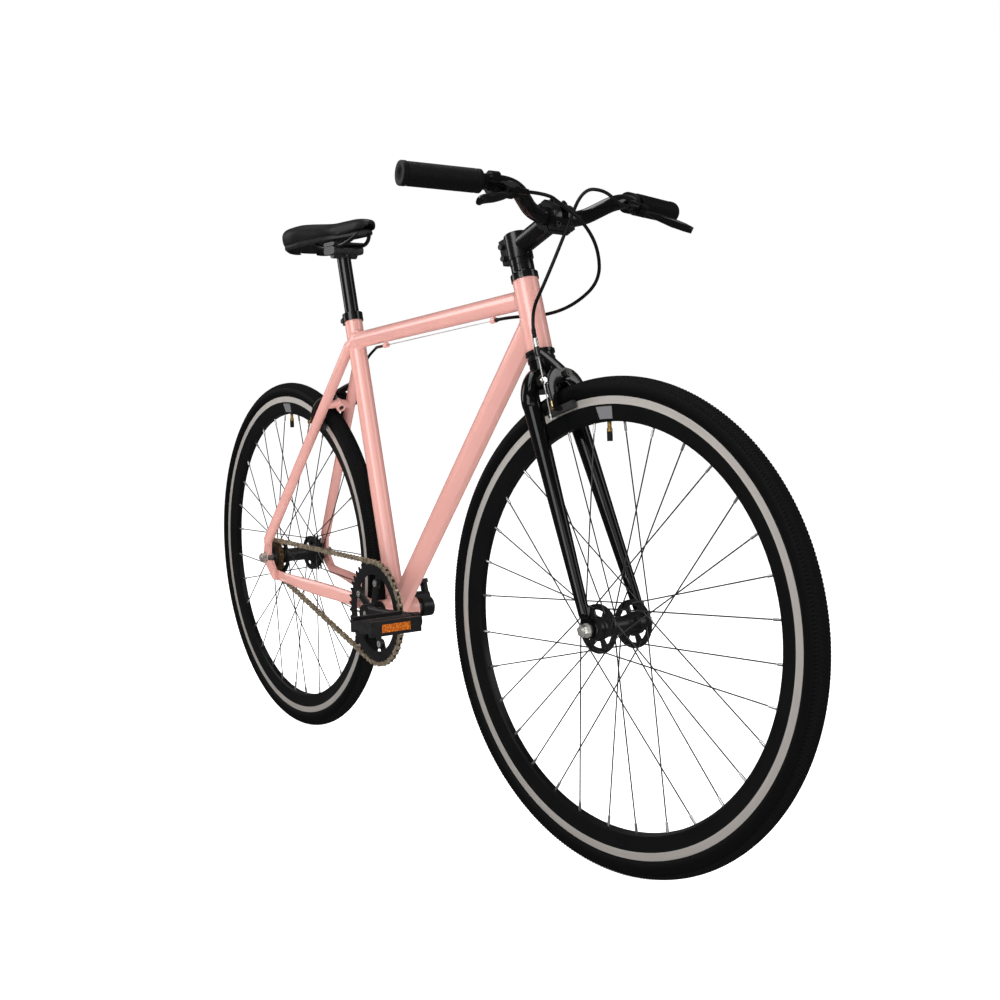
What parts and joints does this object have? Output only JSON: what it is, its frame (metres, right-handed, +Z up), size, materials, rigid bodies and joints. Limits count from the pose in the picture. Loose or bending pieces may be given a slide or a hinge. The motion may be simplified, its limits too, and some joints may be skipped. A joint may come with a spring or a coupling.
{
  "type": "fixed gear bike",
  "caption": "City bicycle with a single speed, diamond frame, riser handlebar, side-pull rim brakes and spoked wheels; it steers, rolls, pedals and brakes.",
  "frame": {"origin": "on the ground, midway between the wheel axles, in the middle plane of the frame", "axes": "+X forward, +Y to the rider's left, +Z up"},
  "size_m": [1.6688, 0.5285, 0.9737],
  "materials": {
    "pink_paint": "gloss",
    "black_paint": "gloss",
    "black_alloy": "satin",
    "rim_alloy": "satin with a bright machined track",
    "steel": "bright",
    "dark_steel": "satin",
    "chain_steel": "satin",
    "bronze_steel": "satin",
    "tyre": "matt",
    "rubber": "matt",
    "brass": "satin",
    "black_plastic": "matt",
    "amber": "gloss",
    "saddle_cover": "smooth matt vinyl over padding",
    "housing": "gloss"
  },
  "bodies": {
    "frame": {"frame": "pink_paint", "headset_cups": "black_alloy", "bottom_bracket": "dark_steel", "seat_collar": "black_alloy", "rear_axle": "steel", "chain": "chain_steel", "rear_brake_cable": "housing", "rear_brake_housing": "housing", "rear_brake_bolt": "dark_steel"},
    "seat": {"seatpost": "black_alloy", "saddle_clamp": "dark_steel", "saddle_rails": "dark_steel", "saddle_base": "black_plastic", "saddle": "saddle_cover"},
    "steering": {"fork": "black_paint", "headset_spacers": "black_alloy", "stem": "black_alloy", "stem_faceplate": "black_alloy", "stem_bolts": "dark_steel", "stem_cap": "black_alloy", "handlebar": "black_alloy", "right_grip": "rubber", "left_grip": "rubber", "right_lever_bracket": "black_alloy", "left_lever_bracket": "black_alloy", "front_axle": "steel", "front_brake_cable": "housing", "front_brake_bolt": "dark_steel"},
    "front_wheel": {"front_tyre": "tyre", "front_rim": "rim_alloy", "front_spokes": "dark_steel", "front_hub": "black_alloy", "front_inner_tube": "rubber", "front_valve": "brass"},
    "rear_wheel": {"rear_tyre": "tyre", "rear_rim": "rim_alloy", "rear_spokes": "dark_steel", "rear_hub": "black_alloy", "rear_inner_tube": "rubber", "rear_valve": "brass", "fixed_cog": "dark_steel", "freewheel_core": "dark_steel"},
    "freewheel": {"freewheel": "bronze_steel"},
    "crankset": {"right_crank": "black_alloy", "chainring": "black_alloy", "chainring_bolts": "steel", "left_crank": "black_alloy", "crank_spindle": "steel", "pedal_axles": "steel"},
    "right_pedal": {"right_pedal": "black_plastic", "right_pedal_reflectors": "amber"},
    "left_pedal": {"left_pedal": "black_plastic", "left_pedal_reflectors": "amber"},
    "right_lever": {"right_brake_lever": "black_alloy"},
    "left_lever": {"left_brake_lever": "black_alloy"},
    "front_brake_left": {"front_brake_left_arm": "black_alloy"},
    "front_brake_right": {"front_brake_right_arm": "black_alloy"},
    "rear_brake_left": {"rear_brake_left_arm": "black_alloy"},
    "rear_brake_right": {"rear_brake_right_arm": "black_alloy"}
  },
  "joints": [
    {"name": "steering_turn", "type": "hinge", "parent": "frame", "child": "steering", "pos_m": [0.45676, 0, 0.33107], "axis": [-0.3007, 0, 0.9537], "range_deg": [-66.42, 53.58], "deforming": ["rear_brake_housing"]},
    {"name": "front_wheel_spin", "type": "hinge", "parent": "steering", "child": "front_wheel", "pos_m": [0.49277, 0.00425, 0.34243], "axis": [-0.1066, 0.9937, -0.0336], "continuous": true},
    {"name": "rear_wheel_spin", "type": "hinge", "parent": "frame", "child": "rear_wheel", "pos_m": [-0.493, 0, 0.3425], "axis": [0, 1, 0], "continuous": true},
    {"name": "crank_spin", "type": "hinge", "parent": "frame", "child": "crankset", "pos_m": [-0.09486, 0, 0.284], "axis": [0, 1, 0], "continuous": true, "deforming": ["chain"]},
    {"name": "freewheel_spin", "type": "hinge", "parent": "frame", "child": "freewheel", "pos_m": [-0.493, 0, 0.3425], "axis": [0, 1, 0], "continuous": true},
    {"name": "right_pedal_spin", "type": "hinge", "parent": "crankset", "child": "right_pedal", "pos_m": [0.07449, -0.1265, 0.29882], "axis": [0, 1, 0], "continuous": true},
    {"name": "left_pedal_spin", "type": "hinge", "parent": "crankset", "child": "left_pedal", "pos_m": [-0.26421, 0.1265, 0.26918], "axis": [0, 1, 0], "continuous": true},
    {"name": "seat_height", "type": "slide", "parent": "frame", "child": "seat", "axis": [-0.2504, 0, 0.9681], "range_m": [-0.06, 0.04]},
    {"name": "left_lever_pull", "type": "hinge", "parent": "steering", "child": "left_lever", "pos_m": [0.39519, 0.14261, 0.92239], "axis": [0.4435, 0.1851, 0.877], "range_deg": [0, 22], "stiffness_Nm_per_rad": 1.2, "springref_deg": -8.59, "deforming": ["front_brake_cable"]},
    {"name": "right_lever_pull", "type": "hinge", "parent": "steering", "child": "right_lever", "pos_m": [0.42257, -0.11258, 0.93102], "axis": [-0.4663, 0.0279, -0.8842], "range_deg": [0, 22], "stiffness_Nm_per_rad": 1.2, "springref_deg": -8.59, "deforming": ["rear_brake_cable"]},
    {"name": "front_brake_left_close", "type": "hinge", "parent": "steering", "child": "front_brake_left", "pos_m": [0.36875, 0.00246, 0.68289], "axis": [-0.9477, -0.1118, -0.2988], "range_deg": [0, 1.9]},
    {"name": "front_brake_right_close", "type": "hinge", "parent": "steering", "child": "front_brake_right", "pos_m": [0.36875, 0.00246, 0.68289], "axis": [0.9477, 0.1118, 0.2988], "range_deg": [0, 1.9]},
    {"name": "rear_brake_left_close", "type": "hinge", "parent": "frame", "child": "rear_brake_left", "pos_m": [-0.29656, 0, 0.64701], "axis": [-0.8148, 0, 0.5798], "range_deg": [0, 1.9]},
    {"name": "rear_brake_right_close", "type": "hinge", "parent": "frame", "child": "rear_brake_right", "pos_m": [-0.29656, 0, 0.64701], "axis": [0.8148, 0, -0.5798], "range_deg": [0, 1.9]}
  ],
  "couplings": [
    {"joint": "freewheel_spin", "follows": "crank_spin", "ratio": 2.75},
    {"joint": "front_brake_left_close", "follows": "left_lever_pull", "ratio": 0.086364},
    {"joint": "front_brake_right_close", "follows": "left_lever_pull", "ratio": 0.086364},
    {"joint": "rear_brake_left_close", "follows": "right_lever_pull", "ratio": 0.086364},
    {"joint": "rear_brake_right_close", "follows": "right_lever_pull", "ratio": 0.086364}
  ]
}
